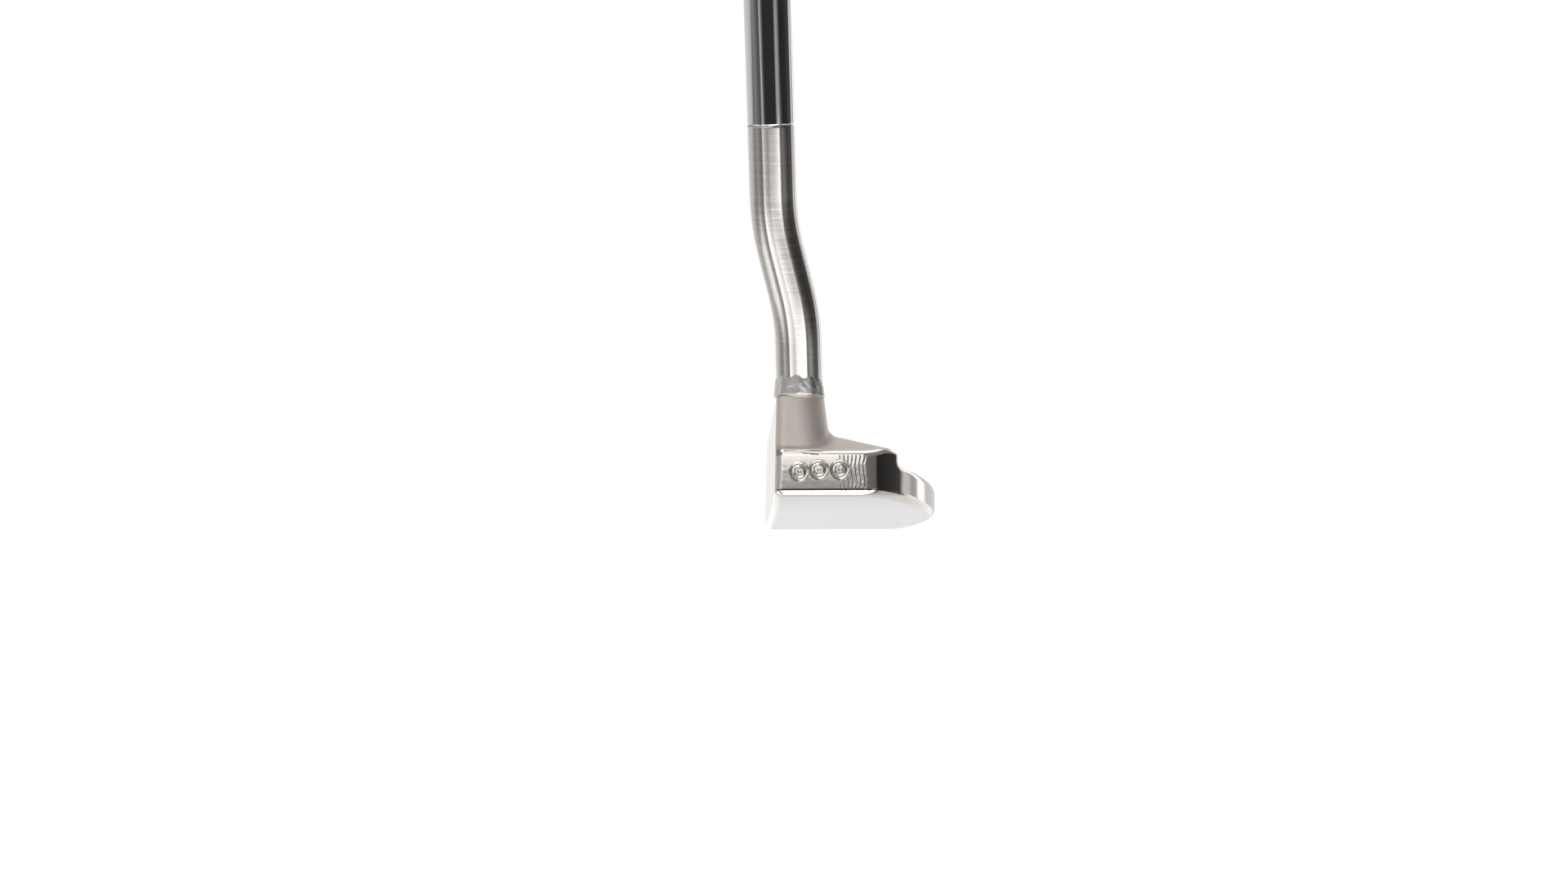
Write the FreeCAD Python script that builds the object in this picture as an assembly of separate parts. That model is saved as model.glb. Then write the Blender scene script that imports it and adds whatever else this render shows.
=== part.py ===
"""Right-handed mid-mallet putter: milled steel head, welded bent neck, stepped shaft and grip.

Millimetres. Z is up, +X runs from toe to heel, -Y is the way the ball leaves the face.
The pieces are drawn with the leading edge at Y = 0 and then all moved forward by half the
head's depth, so that the finished part's origin is the centre of the flat sole.
"""

import FreeCAD, Part
import math
import os

V = FreeCAD.Vector

# Head
HEAD_LENGTH = 105.0
HEAD_DEPTH = 35.9
FACE_HEIGHT = 22.0
LOFT = 1.6
LEADING_EDGE_Z = 2.0
FRONT_CORNER_ROUND = 1.8
SOLE_ROUND = 1.7
BLADE_DEPTH = 10.3
BLADE_DRAFT = 6.9
BLADE_BACK_ROUND = 6.0
TOP_LINE_ROUND = 0.6
TOE_TOP_ROUND = 7.0
FLAT_SOLE_HALF = 27.0
CAMBER_RISE = 1.6
PANEL_DEPTH = 17.8
PANEL_TOP = 10.9
PANEL_STEP = 1.4
PANEL_ROUND = 1.3

# Flange behind the blade, a plane that falls towards the back
FLANGE_BACK_Z = 5.8
FLANGE_SLOPE = 0.202

# Bumpers at heel and toe
BUMPER_WIDTH = 10.5
CROWN_START_X = 36.0
BUMPER_CORNER = 3.5
POCKET_ROUND = 5.0
POCKET_FOOT = 0.8
TOP_LINE_RELIEF = 1.0
BUMPER_BACK_Y = 24.9
BUMPER_FRONT_Z = 15.1
BUMPER_FALL = 0.30
BUMPER_CROWN = 0.45
BUMPER_CROWN_ROUND = 5.0
BUMPER_ROUND = 1.6
SHOULDER_ROUND = 2.7

# Shaft line: it leans towards the heel and crosses the ground at this point, before the
# neck and all above it are tipped forward about the foot of the neck
LEAN = 19.0
FORWARD_LEAN = 1.9
SHAFT_FOOT_X = 39.1
SHAFT_FOOT_Y = 1.1
CLUB_LENGTH = 863.6

# Neck
NECK_R = 4.7
NECK_FOOT_Y = 5.3
NECK_BEND_Z = 46.5
NECK_BEND_R = 50.0
NECK_BEND_ANGLE = 12.5
SEAM_Z = 74.0
SPIGOT_R = 4.05
SPIGOT_LENGTH = 25.4
SPIGOT_CHAMFER = 0.5
TENON_R = 3.0
TENON_LENGTH = 7.0
TENON_GAP = 0.03
WELD_SECTIONS = [(20.8, 4.9), (22.3, 5.25), (24.2, 5.05), (26.0, 4.78)]

# Shaft
SHAFT_WALL = 0.55
SHAFT_TIP_LENGTH = 230.0
SHAFT_STEP_PITCH = 22.0
SHAFT_STEP_RUN = 0.8
SHAFT_BUTT_R = 7.35

# Grip: distance from the mouth, half width, depth to the flat front, depth to the round back
GRIP_LENGTH = 265.0
TAPE_THICKNESS = 0.15
GRIP_FRONT_POWER = 3.2
GRIP_SECTIONS = [
    (0, 9.0, 8.9, 9.2),
    (12, 9.7, 9.3, 9.9),
    (70, 10.5, 9.4, 10.8),
    (140, 11.8, 9.6, 12.2),
    (195, 12.6, 9.8, 14.4),
    (236, 13.3, 10.1, 18.2),
    (257, 13.3, 10.1, 18.9),
    (265, 12.9, 9.8, 18.2),
]
CAP_THICKNESS = 3.5
CAP_PLUG_LENGTH = 4.0
CAP_PLUG_GAP = 0.05
VENT_R = 1.5

# Marks on the head
RING_CENTRES = [(5.0, 6.4), (8.9, 6.8), (13.1, 6.8)]
RING_R = 1.45
RING_TOOL_R = 0.8
RING_DEPTH = 0.35
DOT_TOOL_R = 0.6
DOT_DEPTH = 0.2
SIGHT_LINE_Y = (16.8, 31.3)
SIGHT_LINE_WIDTH = 1.2
SIGHT_LINE_DEPTH = 0.5
PAINT_RECESS = 0.1

HEEL = HEAD_LENGTH / 2


def face_y(z):
    """Y of the lofted strike face at a height."""
    return (z - LEADING_EDGE_Z) * math.tan(math.radians(LOFT))


def back_y(z):
    """Y of the blade's drafted back wall at a height."""
    return BLADE_DEPTH + (FACE_HEIGHT - z) * math.tan(math.radians(BLADE_DRAFT))


def flange_z(y):
    """Height of the flange's sloping top."""
    return FLANGE_BACK_Z + (HEAD_DEPTH - y) * FLANGE_SLOPE


def prism_x(yz, x0, x1):
    """Prism along X from a polygon of (y, z) corners."""
    points = [V(x0, y, z) for y, z in yz]
    return Part.Face(Part.makePolygon(points + points[:1])).extrude(V(x1 - x0, 0, 0))


def prism_y(xz, y0, y1):
    """Prism along Y from a polygon of (x, z) corners."""
    points = [V(x, y0, z) for x, z in xz]
    return Part.Face(Part.makePolygon(points + points[:1])).extrude(V(0, y1 - y0, 0))


def edges_where(shape, test):
    """Edges whose middle passes the test."""
    return [e for e in shape.Edges if test(e.CenterOfMass)]


def plan_prism():
    """Vertical walls of the head: straight heel and toe, then half an ellipse round the back."""
    semi_y = HEAD_DEPTH - PANEL_DEPTH
    centre = V(0, PANEL_DEPTH, -1)
    ellipse = Part.Ellipse(centre, HEEL, semi_y)
    back = Part.ArcOfEllipse(ellipse, 0, math.pi).toShape()
    front = -5.0
    corners = [V(-HEEL, PANEL_DEPTH, -1), V(-HEEL, front, -1), V(HEEL, front, -1), V(HEEL, PANEL_DEPTH, -1)]
    straight = [Part.makeLine(a, b) for a, b in zip(corners, corners[1:])]
    wire = Part.Wire(Part.__sortEdges__([back] + straight))
    return Part.Face(wire).extrude(V(0, 0, 40))


def side_prism():
    """The outline seen from the front: cambered sole, level top line, rounded upper toe corner."""
    run = HEEL - FLAT_SOLE_HALF
    radius = (run**2 + CAMBER_RISE**2) / (2 * CAMBER_RISE)
    front = -10.0
    past = HEEL + 2

    def sole_point(x):
        over = max(abs(x) - FLAT_SOLE_HALF, 0)
        return V(x, front, radius - math.sqrt(radius**2 - over**2))

    def sole_arc(side):
        xs = (FLAT_SOLE_HALF, FLAT_SOLE_HALF + run / 2, past)
        return Part.Arc(*[sole_point(side * x) for x in xs]).toShape()

    chord = TOE_TOP_ROUND * (1 - math.sqrt(0.5))
    toe_low = V(-HEEL, front, FACE_HEIGHT - TOE_TOP_ROUND)
    toe_mid = V(-HEEL + chord, front, FACE_HEIGHT - chord)
    toe_high = V(-HEEL + TOE_TOP_ROUND, front, FACE_HEIGHT)
    toe_out = V(-past, front, toe_low.z)
    heel_high = V(past, front, FACE_HEIGHT)
    edges = [
        sole_arc(-1),
        Part.makeLine(sole_point(-FLAT_SOLE_HALF), sole_point(FLAT_SOLE_HALF)),
        sole_arc(1),
        Part.makeLine(sole_point(past), heel_high),
        Part.makeLine(heel_high, toe_high),
        Part.Arc(toe_high, toe_mid, toe_low).toShape(),
        Part.makeLine(toe_low, toe_out),
        Part.makeLine(toe_out, sole_point(-past)),
    ]
    return Part.Face(Part.Wire(edges)).extrude(V(0, 60, 0))


def stock():
    """Upright blade on a broad shoulder that falls to the back, heel and toe, before the deck is milled."""
    low = -2.0
    end = HEEL - PANEL_STEP
    past = HEEL + 10
    front = -10.0
    behind = HEAD_DEPTH + 10
    upright = [(front, low), (front, FACE_HEIGHT), (back_y(FACE_HEIGHT), FACE_HEIGHT), (back_y(low), low)]
    blade = prism_x(upright, -end, end)
    corners = edges_where(blade, lambda c: abs(c.x) > end - 0.1 and c.y > 9)
    blade = blade.makeFillet(BLADE_BACK_ROUND, corners)

    def ridge_z(y):
        return BUMPER_FRONT_Z - BUMPER_FALL * (y - BLADE_DEPTH)

    def crown_z(x):
        return PANEL_TOP + (end - x) * BUMPER_CROWN

    falling = [(front, low), (front, ridge_z(front)), (behind, ridge_z(behind)), (behind, low)]
    ridge = prism_x(falling, -past, past)
    right = [(CROWN_START_X, crown_z(CROWN_START_X)), (past, crown_z(past)), (past, low)]
    left = [(-x, z) for x, z in reversed(right)]
    shoulder = ridge.common(prism_y(left + right, front, behind))
    crease = edges_where(shoulder, lambda c: 45 < abs(c.x) < end and 0 < c.y < behind - 1 and c.z > 8)
    shoulder = shoulder.makeFillet(BUMPER_CROWN_ROUND, crease)

    def in_cove(c):
        behind_blade = back_y(FACE_HEIGHT) - 0.5 < c.y < back_y(low)
        beside_blade = abs(abs(c.x) - end) < 1.9 and front < c.y < back_y(low)
        return (behind_blade or beside_blade) and PANEL_TOP - 1 < c.z < BUMPER_FRONT_Z + 0.5

    body = blade.fuse(shoulder).removeSplitter()
    return body.makeFillet(SHOULDER_ROUND, edges_where(body, in_cove))


def deck_cutter():
    """What is milled away above the flange: a pocket between the bumpers and all that lies behind them."""
    inner = HEEL - BUMPER_WIDTH
    far_x = HEEL + 10
    far_y = HEAD_DEPTH + 10
    front = BLADE_DEPTH - TOP_LINE_RELIEF
    plan = [(-inner, front), (inner, front), (inner, BUMPER_BACK_Y), (far_x, BUMPER_BACK_Y)]
    plan += [(far_x, far_y), (-far_x, far_y), (-far_x, BUMPER_BACK_Y), (-inner, BUMPER_BACK_Y)]
    points = [V(x, y, 0) for x, y in plan]
    tool = Part.Face(Part.makePolygon(points + points[:1])).extrude(V(0, 0, 40))
    pocket = edges_where(tool, lambda c: abs(abs(c.x) - inner) < 0.1 and abs(c.y - front) < 0.1)
    tool = tool.makeFillet(POCKET_ROUND, pocket)
    corners = edges_where(tool, lambda c: abs(abs(c.x) - inner) < 0.1 and abs(c.y - BUMPER_BACK_Y) < 0.1)
    tool = tool.makeFillet(BUMPER_CORNER, corners)
    tool = tool.common(
        prism_x([(0, flange_z(0)), (0, 60), (far_y + 5, 60), (far_y + 5, flange_z(far_y + 5))], -far_x, far_x)
    )
    foot = edges_where(tool, lambda c: abs(c.z - flange_z(c.y)) < 0.4 and c.y < BUMPER_BACK_Y + 0.5)
    return tool.makeFillet(POCKET_FOOT, foot)


def front_prism():
    """Everything behind the lofted strike face."""
    high = 40.0
    return prism_x([(face_y(-1), -1), (face_y(high), high), (60, high), (60, -1)], -HEEL - 3, HEEL + 3)


def round_blank(body):
    """Break the blank's edges, each group with the round it has on the finished head."""
    inner = HEEL - BUMPER_WIDTH

    def front_corners(c):
        return abs(c.x) > HEEL - 1.5 and c.y < 1.3 and c.z > 3

    def sole_edge(c):
        front_or_end = c.y < 2.5 or abs(c.x) > HEEL - 0.3
        back = c.y > 20 and (abs(c.x) > 30 or abs(c.x) < 1)
        return c.z < 3.2 and (front_or_end or back)

    def panel_top(c):
        return abs(c.x) > 48 and abs(c.z - PANEL_TOP + 0.3) < 0.5 and c.y > 1.5

    def bumper_rim(c):
        inner_rim = abs(abs(c.x) - inner) < 0.1 and c.z > PANEL_TOP + 1
        on_back = inner + 0.5 < abs(c.x) < inner + 4.5 and c.z > 10
        back_rim = on_back and BUMPER_BACK_Y - 1.7 < c.y < BUMPER_BACK_Y + 0.8
        return inner_rim or back_rim

    def top_line(c):
        return c.z > FACE_HEIGHT - 0.1

    body = body.makeFillet(FRONT_CORNER_ROUND, edges_where(body, front_corners))
    body = body.makeFillet(SOLE_ROUND, edges_where(body, sole_edge))
    body = body.makeFillet(PANEL_ROUND, edges_where(body, panel_top))
    body = body.makeFillet(BUMPER_ROUND, edges_where(body, bumper_rim))
    return body.makeFillet(TOP_LINE_ROUND, edges_where(body, top_line))


def stamped_rings():
    """Three plain ring marks punched by hand into the heel panel."""
    tools = []
    for y, z in RING_CENTRES:
        ring = Part.makeTorus(RING_R, RING_TOOL_R, V(HEEL + RING_TOOL_R - RING_DEPTH, y, z), V(1, 0, 0))
        dot = Part.makeSphere(DOT_TOOL_R, V(HEEL + DOT_TOOL_R - DOT_DEPTH, y, z))
        tools += [ring, dot]
    return tools


def sight_line(depth, top):
    """A strip along the deck at x = 0, from a depth below its surface up to another."""
    y0, y1 = SIGHT_LINE_Y
    half = SIGHT_LINE_WIDTH / 2
    corners = [(y0, flange_z(y0) + top), (y1, flange_z(y1) + top)]
    corners += [(y1, flange_z(y1) - depth), (y0, flange_z(y0) - depth)]
    strip = prism_x(corners, -half, half)

    def at_end(c):
        return abs(abs(c.x) - half) < 0.01 and min(abs(c.y - y0), abs(c.y - y1)) < 0.01

    return strip.makeFillet(half * 0.9, edges_where(strip, at_end))


# Shaft line frame: distances along the shaft from where its axis meets the ground
LEAN_RAD = math.radians(LEAN)
ALONG = V(math.sin(LEAN_RAD), 0, math.cos(LEAN_RAD))
FRONT = V(-math.cos(LEAN_RAD), 0, math.sin(LEAN_RAD))
GROUND = V(SHAFT_FOOT_X, SHAFT_FOOT_Y, 0)
SEAM = SEAM_Z / math.cos(LEAN_RAD)
SHAFT_END = CLUB_LENGTH - CAP_THICKNESS
GRIP_MOUTH = SHAFT_END - GRIP_LENGTH


def on_line(s, y=SHAFT_FOOT_Y):
    """Point at a distance along the shaft line, moved sideways to another Y."""
    point = GROUND + ALONG * s
    return V(point.x, y, point.z)


def tipped(solid):
    """The solid leant forward about the foot of the neck."""
    solid = solid.copy()
    solid.rotate(on_line(FACE_HEIGHT / math.cos(LEAN_RAD), NECK_FOOT_Y), V(1, 0, 0), FORWARD_LEAN)
    return solid


def rod(radius, s0, s1, y=SHAFT_FOOT_Y):
    return Part.makeCylinder(radius, s1 - s0, on_line(s0, y), ALONG)


def sleeve(inner, outer, s0, s1):
    return rod(outer, s0, s1).cut(rod(inner, s0 - 1, s1 + 1))


def tenon(gap):
    """Locating peg under the neck, or with a gap the blind hole that takes it."""
    top = (FACE_HEIGHT + 1) / math.cos(LEAN_RAD)
    bottom = FACE_HEIGHT / math.cos(LEAN_RAD) - TENON_LENGTH - 5 * gap
    return tipped(rod(TENON_R + gap, bottom, top, NECK_FOOT_Y))


def neck():
    """Round bar with an S bend that carries the shaft line forward, cut flat to sit on the blade."""
    bend = math.radians(NECK_BEND_ANGLE)
    shift = NECK_FOOT_Y - SHAFT_FOOT_Y
    drop = NECK_BEND_R * (1 - math.cos(bend))
    rise = NECK_BEND_R * math.sin(bend)
    middle = (shift - 2 * drop) / math.sin(bend)
    half = rise + middle * math.cos(bend) / 2
    centre = NECK_BEND_Z / math.cos(LEAN_RAD)
    mean_y = (NECK_FOOT_Y + SHAFT_FOOT_Y) / 2

    def mirrored_pair(ds, dy):
        return on_line(centre - ds, mean_y + dy), on_line(centre + ds, mean_y - dy)

    part_drop = NECK_BEND_R * (1 - math.cos(bend / 2))
    part_rise = NECK_BEND_R * math.sin(bend / 2)
    start, finish = mirrored_pair(half, shift / 2)
    low_mid, high_mid = mirrored_pair(half - part_rise, shift / 2 - part_drop)
    low_end, high_end = mirrored_pair(half - rise, shift / 2 - drop)
    foot = on_line((FACE_HEIGHT - 4) / math.cos(LEAN_RAD), NECK_FOOT_Y)
    path = [
        Part.makeLine(foot, start),
        Part.Arc(start, low_mid, low_end).toShape(),
        Part.makeLine(low_end, high_end),
        Part.Arc(high_end, high_mid, finish).toShape(),
        Part.makeLine(finish, on_line(SEAM)),
    ]
    circle = Part.Wire(Part.Circle(foot, ALONG, NECK_R).toShape())
    bar = Part.Wire(path).makePipeShell([circle], True, True)
    bar = tipped(bar).cut(Part.makeBox(60, 60, FACE_HEIGHT, V(10, -30, 0)))
    spigot = rod(SPIGOT_R, SEAM - 1, SEAM + SPIGOT_LENGTH)
    tip = edges_where(spigot, lambda c: c.z > SEAM_Z + 20 and abs(c.y - SHAFT_FOOT_Y) < 0.1)
    spigot = spigot.makeChamfer(SPIGOT_CHAMFER, tip)
    return bar.fuse([tenon(0), tipped(spigot)]).removeSplitter()


def weld_bead(neck_solid, head_blank):
    """Low collar of weld round the foot of the neck, level with the top line."""
    rings = []
    for z, radius in WELD_SECTIONS:
        centre = V(SHAFT_FOOT_X + z * math.tan(LEAN_RAD), NECK_FOOT_Y, z)
        rings.append(Part.Wire(Part.Ellipse(centre, radius / math.cos(LEAN_RAD), radius).toShape()))
    collar = tipped(Part.makeLoft(rings, True, False))
    return collar.cut(neck_solid).cut(head_blank)


def shaft():
    """Stepped tube: a parallel tip, short conical steps, then a parallel butt under the grip."""
    steps = round((GRIP_MOUTH - SEAM - SHAFT_TIP_LENGTH) // SHAFT_STEP_PITCH)
    growth = (SHAFT_BUTT_R - NECK_R) / steps
    outline = [(NECK_R, 0)]
    for n in range(steps):
        at = SHAFT_TIP_LENGTH + n * SHAFT_STEP_PITCH
        outline += [(NECK_R + n * growth, at), (NECK_R + (n + 1) * growth, at + SHAFT_STEP_RUN)]
    outline.append((SHAFT_BUTT_R, SHAFT_END - SEAM))
    inside = [(r - SHAFT_WALL, t) for r, t in reversed(outline)]
    points = [V(r, 0, t) for r, t in outline + inside]
    tube = Part.Face(Part.makePolygon(points + points[:1])).revolve(V(0, 0, 0), V(0, 0, 1), 360)
    tube.rotate(V(0, 0, 0), V(0, 1, 0), LEAN)
    tube.translate(on_line(SEAM))
    return tube


def grip_section(s, half_width, front, back):
    """Closed outline across the grip: flatter on the thumb side, round under the fingers."""
    points = []
    count = 28
    for n in range(count):
        angle = 2 * math.pi * n / count
        c, d = math.cos(angle), math.sin(angle)
        power = 2 / GRIP_FRONT_POWER if c > 0 else 1.0
        depth = front if c > 0 else back
        forward = math.copysign(abs(c) ** power, c) * depth
        side = math.copysign(abs(d) ** power, d) * half_width
        points.append(on_line(s) + FRONT * forward + V(0, side, 0))
    curve = Part.BSplineCurve()
    curve.interpolate(points, PeriodicFlag=True)
    return Part.Wire(curve.toShape())


def grip():
    """Pistol grip: slim at the mouth, flaring under the heel of the hand near the butt."""
    sections = [grip_section(GRIP_MOUTH + t, w, f, b) for t, w, f, b in GRIP_SECTIONS]
    body = Part.makeLoft(sections, True, False)
    return body.cut(rod(SHAFT_BUTT_R + TAPE_THICKNESS, GRIP_MOUTH - 5, SHAFT_END + 5))


def grip_cap():
    """Hard butt cap: a plate over the end of the grip, a plug in the shaft and a vent hole."""
    t, width, front, back = GRIP_SECTIONS[-1]
    plate = Part.makeLoft(
        [
            grip_section(SHAFT_END, width, front, back),
            grip_section(SHAFT_END + CAP_THICKNESS * 0.6, width - 0.3, front - 0.3, back - 0.3),
            grip_section(CLUB_LENGTH, width - 1.6, front - 1.6, back - 1.6),
        ],
        True,
        False,
    )
    plug = rod(SHAFT_BUTT_R - SHAFT_WALL - CAP_PLUG_GAP, SHAFT_END - CAP_PLUG_LENGTH, SHAFT_END + 1)
    vent = rod(VENT_R, SHAFT_END - CAP_PLUG_LENGTH - 1, CLUB_LENGTH + 1)
    return plate.fuse(plug).cut(vent)


def build():
    blank = stock().cut(deck_cutter())
    blank = blank.common(plan_prism()).common(side_prism()).common(front_prism()).removeSplitter()
    blank = round_blank(blank)
    head = blank.cut(stamped_rings() + [sight_line(SIGHT_LINE_DEPTH, 1.0), tenon(TENON_GAP)])
    neck_solid = neck()
    return {
        "head_body": head,
        "sight_line_paint": sight_line(SIGHT_LINE_DEPTH, -PAINT_RECESS),
        "neck": neck_solid,
        "weld_bead": weld_bead(neck_solid, blank),
        "shaft_epoxy": tipped(sleeve(SPIGOT_R, NECK_R - SHAFT_WALL, SEAM, SEAM + SPIGOT_LENGTH - 1)),
        "shaft": tipped(shaft()),
        "grip_tape": tipped(sleeve(SHAFT_BUTT_R, SHAFT_BUTT_R + TAPE_THICKNESS, GRIP_MOUTH + 2, SHAFT_END)),
        "grip": tipped(grip()),
        "grip_cap": tipped(grip_cap()),
    }


os.makedirs("parts", exist_ok=True)
for name, solid in build().items():
    solid.translate(V(0, -HEAD_DEPTH / 2, 0))
    print(name, solid.isValid(), len(solid.Solids), round(solid.Volume / 1000, 3), "cm3")
    solid.exportStep("parts/" + name + ".step")
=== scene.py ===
"""Looks of the mid-mallet putter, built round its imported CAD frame. Metres, in the frame's own axes."""

import math

import bmesh
import bpy
from mathutils import Matrix, Vector, noise


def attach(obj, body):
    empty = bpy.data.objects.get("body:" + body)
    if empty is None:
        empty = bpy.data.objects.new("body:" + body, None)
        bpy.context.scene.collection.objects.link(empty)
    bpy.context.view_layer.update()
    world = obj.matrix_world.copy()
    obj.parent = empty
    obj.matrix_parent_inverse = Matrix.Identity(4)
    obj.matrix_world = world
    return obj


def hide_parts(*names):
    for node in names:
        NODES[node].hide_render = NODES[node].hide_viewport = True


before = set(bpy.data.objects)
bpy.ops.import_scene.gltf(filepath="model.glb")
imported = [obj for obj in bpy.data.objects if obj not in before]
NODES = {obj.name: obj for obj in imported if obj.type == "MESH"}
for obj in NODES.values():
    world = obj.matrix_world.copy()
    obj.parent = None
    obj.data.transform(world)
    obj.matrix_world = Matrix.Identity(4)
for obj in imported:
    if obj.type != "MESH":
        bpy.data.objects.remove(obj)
bpy.context.view_layer.update()

MM = 0.001

# Head, as in the CAD
HEEL = 52.5 * MM
TOP_LINE_Z = 22.0 * MM
PANEL_TOP = 10.9 * MM
PANEL_ROUND = 1.3 * MM

# Shaft line: it leans towards the heel, and the neck and all above it are tipped forward about the foot
LEAN = math.radians(19.0)
FORWARD_LEAN = math.radians(1.9)
TIP = Matrix.Rotation(FORWARD_LEAN, 3, "X")
ALONG = TIP @ Vector((math.sin(LEAN), 0.0, math.cos(LEAN)))
FRONT = TIP @ Vector((-math.cos(LEAN), 0.0, math.sin(LEAN)))
SIDE = TIP @ Vector((0.0, 1.0, 0.0))
SHAFT_FOOT_X = 39.1 * MM
NECK_FOOT_Y = -12.65 * MM
SHAFT_FORWARD = 4.2 * MM
NECK_R = 4.7 * MM
SEAM = 74.0 * MM / math.cos(LEAN)
CLUB_LENGTH = 863.6 * MM
CAP_THICKNESS = 3.5 * MM
SHAFT_END = CLUB_LENGTH - CAP_THICKNESS
GRIP_LENGTH = 265.0 * MM
GRIP_MOUTH = SHAFT_END - GRIP_LENGTH
GRIP_FRONT_POWER = 3.2
# Millimetres: distance from the mouth, half width, depth to the thumb flat, depth to the round back
GRIP_SECTIONS = [
    (0, 9.0, 8.9, 9.2),
    (12, 9.7, 9.3, 9.9),
    (70, 10.5, 9.4, 10.8),
    (140, 11.8, 9.6, 12.2),
    (195, 12.6, 9.8, 14.4),
    (236, 13.3, 10.1, 18.2),
    (257, 13.3, 10.1, 18.9),
    (265, 12.9, 9.8, 18.2),
]


# ---------------------------------------------------------------- mesh helpers


def smooth_by_angle(mesh, degrees=30.0):
    mesh.shade_smooth()
    mesh.set_sharp_from_angle(angle=math.radians(degrees))


def rings_to_piece(name, rings, closed_path=False, sharp=30.0):
    """A skin over rings of equal length, capped at both ends unless the last ring joins the first."""
    count = len(rings[0])
    points = [p for ring in rings for p in ring]
    faces = []
    pairs = len(rings) if closed_path else len(rings) - 1
    for r in range(pairs):
        a, b = r * count, ((r + 1) % len(rings)) * count
        for k in range(count):
            n = (k + 1) % count
            faces.append((a + k, a + n, b + n, b + k))
    if not closed_path:
        faces.append(tuple(reversed(range(count))))
        faces.append(tuple(range(len(points) - count, len(points))))
    mesh = bpy.data.meshes.new(name)
    mesh.from_pydata([tuple(p) for p in points], [], faces)
    mesh.validate()
    edited = bmesh.new()
    edited.from_mesh(mesh)
    bmesh.ops.recalc_face_normals(edited, faces=edited.faces)
    edited.to_mesh(mesh)
    edited.free()
    smooth_by_angle(mesh, sharp)
    piece = bpy.data.objects.new(name, mesh)
    bpy.context.scene.collection.objects.link(piece)
    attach(piece, "root")
    return piece


def on_line(s, forward=SHAFT_FORWARD):
    """Point at a distance along the shaft line, or this far in front of the foot of the neck."""
    pivot = Vector((0.0, NECK_FOOT_Y, TOP_LINE_Z))
    upright = Vector((SHAFT_FOOT_X + s * math.sin(LEAN), NECK_FOOT_Y - forward, s * math.cos(LEAN)))
    return pivot + TIP @ (upright - pivot)


def circle(centre, radius, count, u=FRONT, v=SIDE):
    turn = 2 * math.pi / count
    ring = []
    for k in range(count):
        ring.append(centre + u * (radius * math.cos(k * turn)) + v * (radius * math.sin(k * turn)))
    return ring


# ---------------------------------------------------------------- pieces


def make_shaft():
    """Stepped tube, finer than the CAD mesh, with its tip edge just broken at the seam."""
    wall, tip, pitch, run, butt = 0.55 * MM, 230 * MM, 22 * MM, 0.8 * MM, 7.35 * MM
    steps = int((GRIP_MOUTH - SEAM - tip) // pitch)
    growth = (butt - NECK_R) / steps
    edge, hold = 0.14 * MM, 0.3 * MM
    outline = [(NECK_R - edge, 0.0), (NECK_R - 0.3 * edge, 0.3 * edge), (NECK_R, edge), (NECK_R, 2 * edge)]
    for n in range(steps):
        at = tip + n * pitch
        low, high = NECK_R + n * growth, NECK_R + (n + 1) * growth
        outline += [(low, at - hold), (low, at), (high, at + run), (high, at + run + hold)]
    last = tip + (steps - 1) * pitch + run
    length = SHAFT_END - SEAM
    outline += [(butt, last + (length - last) * n / 6) for n in range(1, 7)]
    inside = [(butt - wall, length), (butt - wall, last)]
    inside += [(NECK_R - wall, tip), (NECK_R - wall, 0.0)]
    rings = [circle(on_line(SEAM + t), r, 128) for r, t in outline + inside]
    shaft = rings_to_piece("shaft_tube", rings, closed_path=True, sharp=50)
    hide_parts("shaft")
    return shaft


def neck_path():
    """Points and slopes up the neck: straight foot, two opposite arcs joined by a straight, straight top."""
    bend, radius, middle_z = math.radians(12.5), 50 * MM, 46.5 * MM
    foot_steps, arc_steps, top_steps = 12, 16, 8
    drop = radius * (1 - math.cos(bend))
    middle = (SHAFT_FORWARD - 2 * drop) / math.sin(bend)
    half = radius * math.sin(bend) + middle * math.cos(bend) / 2
    centre = middle_z / math.cos(LEAN)
    foot = TOP_LINE_Z / math.cos(LEAN)
    path = []
    for n in range(foot_steps + 1):
        path.append((foot + (centre - half - foot) * n / foot_steps, 0.0, 0.0))
    for n in range(1, arc_steps + 1):
        turn = bend * n / arc_steps
        path.append((centre - half + radius * math.sin(turn), radius * (1 - math.cos(turn)), turn))
    for n in reversed(range(arc_steps)):
        turn = bend * n / arc_steps
        forward = SHAFT_FORWARD - radius * (1 - math.cos(turn))
        path.append((centre + half - radius * math.sin(turn), forward, turn))
    top = SEAM - 0.5 * MM
    for n in range(1, top_steps + 1):
        path.append((centre + half + (top - centre - half) * n / top_steps, SHAFT_FORWARD, 0.0))
    return [(on_line(s, forward), turn) for s, forward, turn in path]


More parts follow.
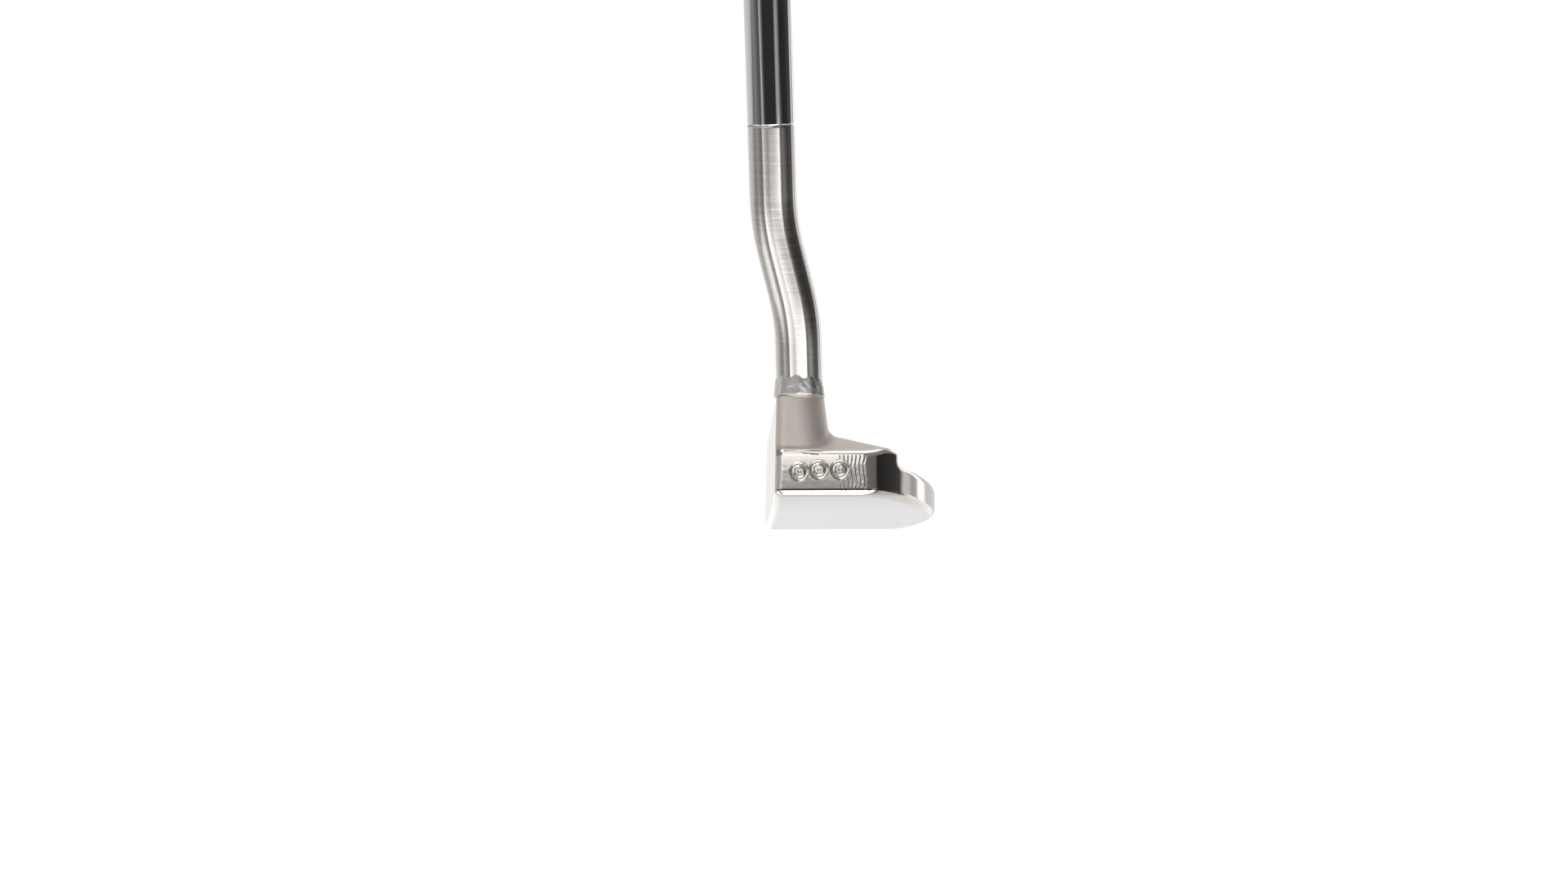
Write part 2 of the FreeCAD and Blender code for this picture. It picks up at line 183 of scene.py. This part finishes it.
def make_neck():
    """Bent bar on its locating peg, with its top edge broken and the spigot that carries the shaft."""
    count = 128
    peg_r, peg_depth = 3.0 * MM, 7.0 * MM
    spigot_r, spigot_length, chamfer = 4.05 * MM, 25.4 * MM, 0.5 * MM
    foot = on_line(TOP_LINE_Z / math.cos(LEAN), 0.0)

    def on_plane(ring, z):
        return [p + ALONG * ((z - p.z) / ALONG.z) for p in ring]

    peg_low = circle(foot - ALONG * peg_depth, peg_r, count)
    peg_high = on_plane(circle(foot, peg_r, count), TOP_LINE_Z)
    rings = [peg_low, peg_high, on_plane(circle(foot, NECK_R, count), TOP_LINE_Z)]
    # The foot is cut level, so the square rings start above its higher side
    clear_of_foot = 4
    for point, turn in neck_path()[clear_of_foot:]:
        tangent = ALONG * math.cos(turn) - SIDE * math.sin(turn)
        rings.append(circle(point, NECK_R, count, FRONT, FRONT.cross(tangent)))
    for radius, s in [
        (NECK_R, SEAM - 0.35 * MM),
        (NECK_R - 0.08 * MM, SEAM - 0.12 * MM),
        (NECK_R - 0.25 * MM, SEAM),
        (spigot_r, SEAM),
        (spigot_r, SEAM + spigot_length - chamfer),
        (spigot_r - chamfer, SEAM + spigot_length),
    ]:
        rings.append(circle(on_line(s), radius, count))
    neck = rings_to_piece("neck_bar", rings, sharp=35)
    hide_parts("neck")
    return neck


def make_weld():
    """Soft overlapping lumps of weld round the foot of the neck, tucked in at the blade."""
    count, levels, lumps = 288, 30, 9
    low, mean_top = 21.4 * MM, 25.2 * MM
    thin_r, swell, inner_r = 4.66 * MM, 0.66 * MM, 4.5 * MM
    dome_rise, uneven_rise, pit_depth = 0.5 * MM, 0.6 * MM, 0.06 * MM
    tuck_depth, tuck_share = 1.1 * MM, 0.15
    foot = on_line(TOP_LINE_Z / math.cos(LEAN), 0.0)

    def point(angle, radius, z):
        p = foot + FRONT * (radius * math.cos(angle)) + SIDE * (radius * math.sin(angle))
        return p + ALONG * ((z - p.z) / ALONG.z)

    rings = [[] for _ in range(levels + 2)]
    for k in range(count):
        angle = 2 * math.pi * k / count
        uneven = noise.noise(Vector((math.cos(angle), math.sin(angle), 3.7)))
        for n in range(levels):
            v = n / (levels - 1)
            turn = lumps * angle + 1.3 + 1.1 * math.sin(math.pi * v) + 1.6 * uneven
            dome = 0.5 + 0.5 * math.cos(turn)
            z = low + (mean_top + dome_rise * dome + uneven_rise * uneven - low) * v
            belly = max(0.0, 1 - v) ** 0.8
            pits = noise.noise(Vector((math.cos(angle) * 5, math.sin(angle) * 5, v * 4)))
            radius = thin_r + swell * belly * (0.72 + 0.28 * dome)
            radius += pit_depth * pits * math.sin(math.pi * v)
            radius -= tuck_depth * max(0.0, 1 - v / tuck_share) ** 1.6
            rings[n].append(point(angle, radius, z))
        rings[levels].append(point(angle, inner_r, mean_top - 1.5 * MM))
        rings[levels + 1].append(point(angle, inner_r, TOP_LINE_Z + 0.1 * MM))
    weld = rings_to_piece("weld_lumps", rings, closed_path=True, sharp=60)
    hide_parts("weld_bead")
    return weld


def between(table, t):
    """Values at t from rows that start with t, on a smooth curve through them."""
    last = len(table) - 2
    n = max(0, min(last, sum(row[0] <= t for row in table) - 1))
    a, b = table[n], table[n + 1]
    before, after = table[max(n - 1, 0)], table[min(n + 2, last + 1)]
    span = b[0] - a[0]
    u = (t - a[0]) / span
    values = []
    for k in range(1, len(a)):
        slope_a = (b[k] - before[k]) / (b[0] - before[0]) * span
        slope_b = (after[k] - a[k]) / (after[0] - a[0]) * span
        rise = (2 * u**3 - 3 * u**2 + 1) * a[k] + (3 * u**2 - 2 * u**3) * b[k]
        values.append(rise + (u**3 - 2 * u**2 + u) * slope_a + (u**3 - u**2) * slope_b)
    return values


def make_grip():
    """Pistol grip, in millimetres: slanted grooves round the back, rows of dimples on the thumb flat."""
    count, rings_up = 216, 400
    groove_pitch, groove_depth, groove_floor, groove_half_width = 4.6, 0.42, 0.25, 0.85
    dimple_pitch, dimple_depth, dimple_floor, dimple_r = 5.0, 0.45, 0.6, 1.3
    plain_low, plain_high, fade = 16.0, 249.0, 4.0
    groove_slant, bore_r = 0.55, 7.5
    length = GRIP_LENGTH / MM
    edge = [(0.0, 0.7), (0.15, 0.3), (0.45, 0.08), (0.9, 0.0)]
    stops = [t for t, _ in edge] + [0.9 + (length - 1.8) * n / rings_up for n in range(1, rings_up)]
    stops += [length - t for t, _ in reversed(edge)]

    def ease(value, low, high):
        u = max(0.0, min(1.0, (value - low) / (high - low)))
        return u * u * (3 - 2 * u)

    rings = []
    for t in stops:
        width, front, back = between(GRIP_SECTIONS, t)
        inset = max([d for at, d in edge if abs(t - at) < 1e-6 or abs(length - t - at) < 1e-6] + [0.0])
        pattern = ease(t, plain_low, plain_low + fade) * (1 - ease(t, plain_high - fade, plain_high))
        ring = []
        for k in range(count):
            angle = 2 * math.pi * k / count
            c, d = math.cos(angle), math.sin(angle)
            power = 2 / GRIP_FRONT_POWER if c > 0 else 1.0
            forward = math.copysign(abs(c) ** power, c) * (front if c > 0 else back)
            aside = math.copysign(abs(d) ** power, d) * width
            if c < 0.25:
                slant = (t + groove_slant * abs(d) * width) / groove_pitch % 1.0
                groove = 1 - ease(abs(slant - 0.5) * groove_pitch, groove_floor, groove_half_width)
                depth = groove_depth * groove * (1 - ease(c, -0.05, 0.2))
            else:
                row = round(aside / dimple_pitch)
                up = t / dimple_pitch + 0.5 * (row % 2)
                off = math.hypot(aside - row * dimple_pitch, (up - round(up)) * dimple_pitch)
                flat = 1 - ease(abs(row), 1.2, 1.4)
                depth = dimple_depth * (1 - ease(off, dimple_floor, dimple_r)) * flat
            scale = 1 - (inset + depth * pattern) / math.hypot(forward, aside)
            ring.append(on_line(GRIP_MOUTH + t * MM) + (FRONT * forward + SIDE * aside) * scale * MM)
        rings.append(ring)
    for s in (SHAFT_END, GRIP_MOUTH):
        rings.append(circle(on_line(s), bore_r * MM, count))
    grip = rings_to_piece("grip_moulding", rings, closed_path=True, sharp=50)
    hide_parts("grip")
    return grip


# ---------------------------------------------------------------- materials


class Graph:
    """Short calls for building one material's nodes."""

    def __init__(self, name, tree=None):
        if tree is None:
            self.material = bpy.data.materials.new(name)
            self.material.use_nodes = True
            tree = self.material.node_tree
            self.bsdf = tree.nodes["Principled BSDF"]
            self.place = tree.nodes.new("ShaderNodeTexCoord").outputs["Object"]
        self.tree = tree

    def node(self, kind, inputs=(), **settings):
        made = self.tree.nodes.new("ShaderNode" + kind)
        for key, value in settings.items():
            setattr(made, key, value)
        for key, value in dict(inputs).items():
            self.set(made.inputs[key], value)
        return made

    def set(self, socket, value):
        if isinstance(value, bpy.types.NodeSocket):
            self.tree.links.new(value, socket)
        else:
            socket.default_value = value

    def math(self, operation, a, b=0.0, c=0.0):
        return self.node("Math", {0: a, 1: b, 2: c}, operation=operation).outputs[0]

    def step(self, value, low, high):
        """0 below low, 1 above high, smooth between."""
        made = self.node(
            "MapRange", {"Value": value, "From Min": low, "From Max": high}, interpolation_type="SMOOTHSTEP"
        )
        return made.outputs["Result"]

    def mix(self, factor, a, b):
        return self.node("Mix", {0: factor, 2: a, 3: b}, data_type="FLOAT").outputs[0]

    def blend(self, factor, a, b):
        return self.node("Mix", {0: factor, 6: a, 7: b}, data_type="RGBA").outputs[2]

    def scaled(self, sizes, vector=None):
        """Coordinates in which one unit is this many metres along each axis."""
        scale = tuple(1.0 / s for s in sizes)
        return self.node("Mapping", {"Vector": vector or self.place, "Scale": scale}).outputs[0]

    def noise(self, vector, detail=3.0, roughness=0.5):
        sockets = {"Vector": vector, "Scale": 1.0, "Detail": detail, "Roughness": roughness}
        return self.node("TexNoise", sockets).outputs["Fac"]

    def ramp(self, factor, stops):
        made = self.node("ValToRGB", {"Fac": factor})
        elements = made.color_ramp.elements
        for n, (at, value) in enumerate(stops):
            element = elements[n] if n < 2 else elements.new(at)
            element.position = at
            element.color = (value, value, value, 1.0)
        return made.outputs["Color"]

    def bump(self, height, distance, strength=1.0, normal=None):
        made = self.node("Bump", {"Height": height, "Distance": distance, "Strength": strength})
        if normal is not None:
            self.set(made.inputs["Normal"], normal)
        return made.outputs["Normal"]

    def edges(self, radius):
        """1 on edges sharper than the radius, 0 on flats."""
        rounded = self.node("Bevel", {"Radius": radius}, samples=4).outputs["Normal"]
        true = self.node("NewGeometry").outputs["Normal"]
        same = self.node("VectorMath", {0: rounded, 1: true}, operation="DOT_PRODUCT").outputs["Value"]
        return self.step(same, 0.99, 0.90)

    def finish(self, **sockets):
        for key, value in sockets.items():
            self.set(self.bsdf.inputs[key.replace("_", " ")], value)
        return self.material


def grey(value):
    return (value, value, value, 1.0)


def tinted(value, warm):
    """A warm grey that keeps its brightness."""
    return (value * (1 + warm), value, value * (1 - warm), 1.0)


def chrome_material():
    """Plated tube, with faint haze and waviness and a few dull specks."""
    g = Graph("chrome_plate")
    specks = g.noise(g.scaled((0.6 * MM,) * 3), detail=2)
    haze = g.noise(g.scaled((9 * MM, 9 * MM, 30 * MM)), detail=4)
    rough = g.math("MULTIPLY_ADD", g.step(specks, 0.68, 0.78), 0.12, 0.025)
    rough = g.math("MULTIPLY_ADD", g.step(haze, 0.45, 0.75), 0.02, rough)
    wave = g.noise(g.scaled((3 * MM, 3 * MM, 14 * MM)), detail=2)
    tone = g.blend(g.step(specks, 0.7, 0.8), tinted(0.80, -0.01), grey(0.55))
    worn = g.edges(0.2 * MM)
    tone = g.blend(worn, tone, grey(0.68))
    rough = g.math("MULTIPLY_ADD", worn, 0.12, rough)
    return g.finish(
        Base_Color=tone,
        Metallic=1.0,
        Roughness=rough,
        Normal=g.bump(wave, 0.01 * MM),
    )


def neck_material():
    """Steel brushed round and round, so that its sheen stretches along the bar."""
    g = Graph("brushed_neck_steel")
    along = g.node("VectorRotate", {"Vector": g.place, "Axis": (1, 0, 0), "Angle": -FORWARD_LEAN}).outputs[0]
    along = g.node("VectorRotate", {"Vector": along, "Axis": (0, 1, 0), "Angle": -LEAN}).outputs[0]
    lines = g.noise(g.scaled((30 * MM, 30 * MM, 0.22 * MM), along), detail=3, roughness=0.7)
    long_lines = g.noise(g.scaled((12 * MM, 12 * MM, 0.9 * MM), along), detail=2)
    rough = g.math("MULTIPLY_ADD", lines, 0.1, 0.12)
    tone = g.blend(g.step(lines, 0.3, 0.7), tinted(0.70, 0.055), tinted(0.78, 0.045))
    worn = g.edges(0.2 * MM)
    tone = g.blend(worn, tone, grey(0.86))
    rough = g.math("MULTIPLY_ADD", worn, -0.08, rough)
    height = g.math("ADD", g.math("MULTIPLY", lines, 0.5), long_lines)
    tangent = g.node("CombineXYZ", {0: ALONG.x, 1: ALONG.y, 2: ALONG.z}).outputs[0]
    return g.finish(
        Base_Color=tone,
        Metallic=1.0,
        Roughness=rough,
        Anisotropic=0.9,
        Tangent=tangent,
        Normal=g.bump(height, 0.006 * MM),
    )


def head_material():
    """Bead-blasted above the panels and on the deck, with painted shade darkening its upward-facing parts;
    polished walls, milled face, belt-finished sole.
    """
    g = Graph("milled_and_polished_head_steel")
    split = g.node("SeparateXYZ", {0: g.place})
    x, y, z = split.outputs[0], split.outputs[1], split.outputs[2]
    normal = g.node("SeparateXYZ", {0: g.node("NewGeometry").outputs["Normal"]})
    upward = normal.outputs[2]
    face = g.step(normal.outputs[1], -0.95, -0.985)
    sole = g.step(upward, -0.9, -0.97)
    high = g.step(z, PANEL_TOP - 0.1 * MM, PANEL_TOP + 0.2 * MM)
    deck = g.step(upward, 0.8, 0.93)
    blasted = g.math("MULTIPLY", g.math("MAXIMUM", high, deck), g.math("SUBTRACT", 1.0, face))
    grain = g.noise(g.scaled((0.12 * MM,) * 3), detail=4, roughness=0.65)
    cloud = g.noise(g.scaled((6 * MM,) * 3), detail=3)
    rough_blasted = g.math("MULTIPLY_ADD", cloud, 0.08, 0.58)
    rough_polished = g.math("MULTIPLY_ADD", cloud, 0.05, 0.06)
    rough = g.mix(blasted, rough_polished, rough_blasted)
    # Painted shade: blasted surfaces that face upwards, such as the deck, get a much darker colour than the
    # blasted sides
    blasted_with_painted_top_shade = g.blend(g.step(upward, 0.15, 0.6), tinted(0.88, 0.075), tinted(0.52, 0.09))
    tone = g.blend(blasted, tinted(0.72, 0.06), blasted_with_painted_top_shade)
    tone = g.blend(sole, tone, tinted(0.74, 0.0))
    worn = g.edges(0.3 * MM)
    tone = g.blend(worn, tone, tinted(0.80, 0.02))
    rough = g.math("MULTIPLY_ADD", worn, -0.05, rough)
    blast_bump = g.bump(grain, 0.02 * MM, strength=blasted)

    # The face is cut by a big fly cutter, whose arcs show; the sole is finished on a belt from heel to toe
    cutter_x, cutter_z, feed = -8 * MM, -70 * MM, 0.7 * MM
    off_x = g.math("SUBTRACT", x, cutter_x)
    off_z = g.math("SUBTRACT", z, cutter_z)
    sweep = g.math("SQRT", g.math("ADD", g.math("MULTIPLY", off_x, off_x), g.math("MULTIPLY", off_z, off_z)))
    arcs = g.math("SINE", g.math("MULTIPLY", sweep, 2 * math.pi / feed))
    arcs = g.math("MULTIPLY", arcs, g.math("MULTIPLY", face, 0.006 * MM))
    belt = g.noise(g.scaled((12 * MM, 0.12 * MM, 5 * MM)), detail=3)
    belt = g.math("MULTIPLY", belt, g.math("MULTIPLY", sole, 0.008 * MM))
    cut = g.math("ADD", arcs, belt)
    rough = g.math("MULTIPLY_ADD", g.math("MAXIMUM", face, sole), 0.16, rough)
    cut_bump = g.bump(cut, 1.0, normal=blast_bump)

    # The panels are slightly crowned and rippled by hand polishing, which fades out towards their rounds
    panel_middle, crown_reach, crown_curve = 6.3 * MM, 3.35 * MM, 5.5
    flat_top = PANEL_TOP - PANEL_ROUND
    panel = g.step(g.math("ABSOLUTE", x), HEEL - 0.25 * MM, HEEL - 0.05 * MM)
    panel = g.math("MULTIPLY", panel, g.step(z, flat_top + 0.15 * MM, flat_top - 0.05 * MM))
    up = g.math("SUBTRACT", z, panel_middle)
    crown = g.math("MULTIPLY_ADD", g.math("MULTIPLY", up, up), -crown_curve, crown_curve * crown_reach**2)
    wobble = g.noise(g.scaled((8 * MM, 3.5 * MM, 3.0 * MM)), detail=2)
    wobble = g.math("MULTIPLY_ADD", wobble, 0.08 * MM, -0.04 * MM)
    inner = g.math("MULTIPLY", g.step(z, flat_top, flat_top - 3 * MM), g.step(z, 2.7 * MM, 4.5 * MM))
    wobble = g.math("MULTIPLY", wobble, inner)
    ripple_depth, ripple_pitch = 0.012 * MM, 0.8 * MM
    ripple_starts, ripple_ends = (-5.85 * MM, -4.45 * MM), (0.85 * MM, 0.15 * MM)
    ripple_zone = g.math("MULTIPLY", g.step(y, *ripple_starts), g.step(y, *ripple_ends))
    bend = g.noise(g.scaled((8 * MM, 6 * MM, 2.2 * MM)), detail=2)
    phase = g.math("MULTIPLY_ADD", bend, 9.0, g.math("MULTIPLY", y, 2 * math.pi / ripple_pitch))
    ripple = g.math("MULTIPLY", g.math("SINE", phase), g.math("MULTIPLY", ripple_zone, ripple_depth))
    height = g.math("ADD", crown, g.math("ADD", wobble, ripple))
    height = g.math("MULTIPLY", height, panel)
    polished = g.bump(height, 1.0, normal=cut_bump)
    return g.finish(Base_Color=tone, Metallic=1.0, Roughness=rough, Normal=polished)


def weld_material():
    """Cleaned weld metal, uneven in gloss."""
    g = Graph("weld_bead_steel")
    lumps = g.noise(g.scaled((0.5 * MM,) * 3), detail=3)
    rough = g.math("MULTIPLY_ADD", lumps, 0.2, 0.28)
    return g.finish(
        Base_Color=tinted(0.80, 0.03), Metallic=1.0, Roughness=rough, Normal=g.bump(lumps, 0.02 * MM)
    )


def plain_material(name, colour, rough, size, depth):
    """Matt moulded or woven finish: fine grain in height, tone and roughness."""
    g = Graph(name)
    grain = g.noise(g.scaled((size,) * 3), detail=4)
    darker = tuple(c * 0.8 for c in colour[:3]) + (1.0,)
    paler = tuple(c + 0.3 * (0.6 - c) for c in colour[:3]) + (1.0,)
    tone = g.blend(grain, colour, darker)
    worn = g.edges(0.4 * MM)
    tone = g.blend(g.math("MULTIPLY", worn, 0.35), tone, paler)
    rough = g.math("MULTIPLY_ADD", grain, 0.15, rough)
    rough = g.math("MULTIPLY_ADD", worn, 0.08, rough)
    return g.finish(Base_Color=tone, Roughness=rough, Normal=g.bump(grain, depth))


def dress(target, made):
    target.data.materials.clear()
    target.data.materials.append(made)


# ---------------------------------------------------------------- studio

# The ramps hold 0 to 1, so brightness is divided by this in them and multiplied back at the end
BRIGHTEST = 4.0

# Brightness round the studio by azimuth: 0 is the heel side, 90 the back of the head, 180 the toe side.
# UNDER is near the table, LOW just under eye level, HIGH at eye level
UNDER_WALLS = [
    (-180, 0.9), (-124, 0.8), (-108, 1.3), (-80, 1.3), (-72, 0.5), (-60, 0.3), (-52, 0.10), (-49, 0.07),
    (-46, 0.5), (-41, 0.5), (-38, 0.16), (-34, 0.14), (-30, 0.03), (26, 0.03), (30, 0.25), (38, 0.46),
    (44, 0.30), (50, 0.14), (62, 0.50), (84, 0.60), (100, 0.60), (125, 0.8), (180, 0.9),
]
LOW_WALLS = [
    (-180, 1.1), (-154, 0.65), (-132, 0.53), (-120, 0.52), (-108, 0.35), (-97, 0.21), (-87, 0.17),
    (-78, 0.25), (-69, 0.17), (-60, 0.11), (-52, 0.07), (-46, 0.4), (-41, 0.4), (-37, 0.10), (-28, 0.03),
    (26, 0.03), (31, 0.18), (40, 0.30), (46, 0.18), (54, 0.02), (88, 0.03), (96, 0.09), (110, 0.11),
    (120, 0.45), (140, 0.9), (180, 1.15),
]
HIGH_WALLS = [
    (-180, 1.15), (-150, 1.0), (-138, 0.72), (-106, 0.60), (-98, 0.50), (-84, 0.42), (-60, 0.48),
    (-36, 0.8), (-28, 1.2), (6, 1.2), (9, 0.2), (46, 0.14), (52, 0.02), (94, 0.04), (110, 0.06),
    (116, 0.65), (126, 0.65), (131, 0.40), (138, 0.45), (141, 1.4), (148, 1.4), (152, 0.6), (170, 0.7),
    (180, 1.15),
]
# Heights in degrees at which one row of walls gives way to the next, and the walls to the ceiling
UNDER_TO_LOW = (-22, -15)
LOW_TO_HIGH = (-6, -1)
WALLS_TO_CEILING = (10, 24)

# Brightness by height in front of the heel: dark gap over the table's edge, then wall and top light
FRONT_BANDS = [
    (-90, 0.03), (-20, 0.03), (-13, 0.10), (-6, 0.30), (2, 0.42), (5, 0.62), (8, 1.15), (14, 1.4), (90, 1.2),
]
FRONT_STARTS = (-28, -26)
FRONT_ENDS_LOW = 26
FRONT_ENDS_HIGH = 6

# Brightness by height behind the toe, below eye level and in the ceiling, and in the ceiling elsewhere
BEHIND_LOW = [(-90, 0.75), (-26, 0.85), (-14, 0.95), (-9, 1.02), (-3, 1.0), (0, 1.1), (90, 1.1)]
BEHIND_CEILING = [(-90, 0.25), (58, 0.25), (70, 1.4), (90, 1.4)]
CEILING = [(-90, 1.3), (50, 1.3), (80, 1.4), (90, 1.4)]
BEHIND_STARTS = (110, 130)
BEHIND_ENDS = (-168, -150)

# The lit table under the heel. SLOPE is how far down its edge appears straight ahead, TILT how much
# that edge falls away to one side. DULL is the dimmer part of the table at the front of the head
TABLE_GLOW = 2.5
TABLE_SLOPE = 0.572
TABLE_TILT = 0.08
TABLE_STARTS = (-55, -49)
TABLE_ENDS = (45, 41)
DULL_GLOW = 0.62
DULL_STARTS = (-58, -52)
DULL_ENDS = (-12, -22)
DULL_BELOW = (-0.535, -0.575)


def studio_world():
    """Soft light from all round, level with the head, as bright walls, dark gaps, a ceiling and a table."""
    world = bpy.data.worlds.new("studio")
    bpy.context.scene.world = world
    world.use_nodes = True
    g = Graph("", world.node_tree)
    back = world.node_tree.nodes["Background"]
    level = g.node("TexCoord").outputs["Generated"]
    level = g.node("VectorRotate", {"Vector": level, "Axis": (1, 0, 0), "Angle": -FORWARD_LEAN}).outputs[0]
    split = g.node("SeparateXYZ", {0: level})
    ahead, aside, up = split.outputs
    around = g.math("MULTIPLY_ADD", g.math("ARCTAN2", aside, ahead), 0.5 / math.pi, 0.5)
    height = g.math("MULTIPLY_ADD", g.math("ARCSINE", up), 1 / math.pi, 0.5)

    def walls(stops):
        return g.ramp(around, [(a / 360 + 0.5, v / BRIGHTEST) for a, v in stops])

    def bands(stops):
        return g.ramp(height, [(a / 180 + 0.5, v / BRIGHTEST) for a, v in stops])

    def above(low, high):
        return g.step(height, low / 180 + 0.5, high / 180 + 0.5)

    def beside(low, high):
        return g.step(around, low / 360 + 0.5, high / 360 + 0.5)

    sides = g.blend(above(*LOW_TO_HIGH), walls(LOW_WALLS), walls(HIGH_WALLS))
    sides = g.blend(above(*UNDER_TO_LOW), walls(UNDER_WALLS), sides)
    behind = g.math("MAXIMUM", beside(*BEHIND_STARTS), g.math("SUBTRACT", 1.0, beside(*BEHIND_ENDS)))
    below_eye = g.math("SUBTRACT", 1.0, above(-4, -1))
    sides = g.blend(g.math("MULTIPLY", behind, below_eye), sides, bands(BEHIND_LOW))
    top = g.blend(behind, bands(BEHIND_CEILING), bands(CEILING))
    sides = g.blend(above(*WALLS_TO_CEILING), sides, top)
    front_end = g.mix(above(*LOW_TO_HIGH), 0.5 + FRONT_ENDS_LOW / 360, 0.5 + FRONT_ENDS_HIGH / 360)
    front = g.math("MULTIPLY", beside(*FRONT_STARTS), g.math("LESS_THAN", around, front_end))
    seen = g.blend(front, sides, bands(FRONT_BANDS))
    under_edge = g.math("MULTIPLY_ADD", ahead, -TABLE_SLOPE, g.math("MULTIPLY", up, -1.0))
    under_edge = g.math("MULTIPLY_ADD", aside, TABLE_TILT, under_edge)
    table = g.math("MULTIPLY", beside(*TABLE_STARTS), beside(*TABLE_ENDS))
    table = g.math("MULTIPLY", table, g.step(under_edge, -0.01, 0.02))
    seen = g.blend(table, seen, grey(TABLE_GLOW / BRIGHTEST))
    dull = g.math("MULTIPLY", beside(*DULL_STARTS), beside(*DULL_ENDS))
    dull = g.math("MULTIPLY", dull, g.step(up, *DULL_BELOW))
    seen = g.blend(dull, seen, grey(DULL_GLOW / BRIGHTEST))
    camera = g.node("LightPath").outputs["Is Camera Ray"]
    g.set(back.inputs["Color"], g.blend(camera, seen, grey(1.05 / BRIGHTEST)))
    back.inputs["Strength"].default_value = BRIGHTEST


def floor():
    """Plain pale ground, well below the club and out of its reflections."""
    mesh = bpy.data.meshes.new("floor")
    half, z = 6.0, -0.30
    corners = [(-half, -half, z), (half, -half, z), (half, half, z), (-half, half, z)]
    mesh.from_pydata(corners, [], [(0, 1, 2, 3)])
    made = bpy.data.objects.new("floor", mesh)
    bpy.context.scene.collection.objects.link(made)
    g = Graph("floor_paper")
    paper = g.finish(Base_Color=grey(0.9), Roughness=0.9, Emission_Color=grey(1.0), Emission_Strength=0.9)
    dress(made, paper)
    made.visible_glossy = False


def camera():
    """Low at the heel end, close, looking a little up past the sole."""
    place = (0.5225, -0.02836, -0.03288)
    yaw, pitch, roll = math.radians(1.51), math.radians(5.515), math.radians(0.3)
    ahead = Vector((-math.cos(pitch) * math.cos(yaw), math.cos(pitch) * math.sin(yaw), math.sin(pitch)))
    right = ahead.cross(Vector((0, 0, 1))).normalized()
    up = right.cross(ahead)
    across = right * math.cos(roll) - up * math.sin(roll)
    upright = up * math.cos(roll) + right * math.sin(roll)
    data = bpy.data.cameras.new("camera")
    data.sensor_width = 36.0
    data.lens = 54.66
    data.clip_start = 0.01
    made = bpy.data.objects.new("camera", data)
    bpy.context.scene.collection.objects.link(made)
    turn = Matrix((across, upright, -ahead)).transposed().to_4x4()
    made.matrix_world = Matrix.Translation(place) @ turn
    bpy.context.scene.camera = made


# ---------------------------------------------------------------- build

shaft = make_shaft()
neck = make_neck()
weld = make_weld()
grip = make_grip()
dress(shaft, chrome_material())
dress(neck, neck_material())
dress(NODES["head_body"], head_material())
dress(weld, weld_material())
dress(NODES["sight_line_paint"], plain_material("line_enamel", grey(0.85), 0.3, 0.5 * MM, 0.01 * MM))
dress(NODES["shaft_epoxy"], plain_material("epoxy", (0.75, 0.72, 0.62, 1), 0.4, 0.5 * MM, 0.02 * MM))
dress(NODES["grip_tape"], plain_material("paper_tape", (0.85, 0.82, 0.72, 1), 0.7, 0.4 * MM, 0.03 * MM))
dress(grip, plain_material("grip_rubber", (0.018, 0.018, 0.019, 1), 0.55, 0.4 * MM, 0.05 * MM))
dress(NODES["grip_cap"], plain_material("cap_plastic", (0.05, 0.05, 0.052, 1), 0.45, 0.3 * MM, 0.02 * MM))

studio_world()
floor()
camera()
bpy.context.scene.view_settings.view_transform = "Standard"

bpy.context.view_layer.update()
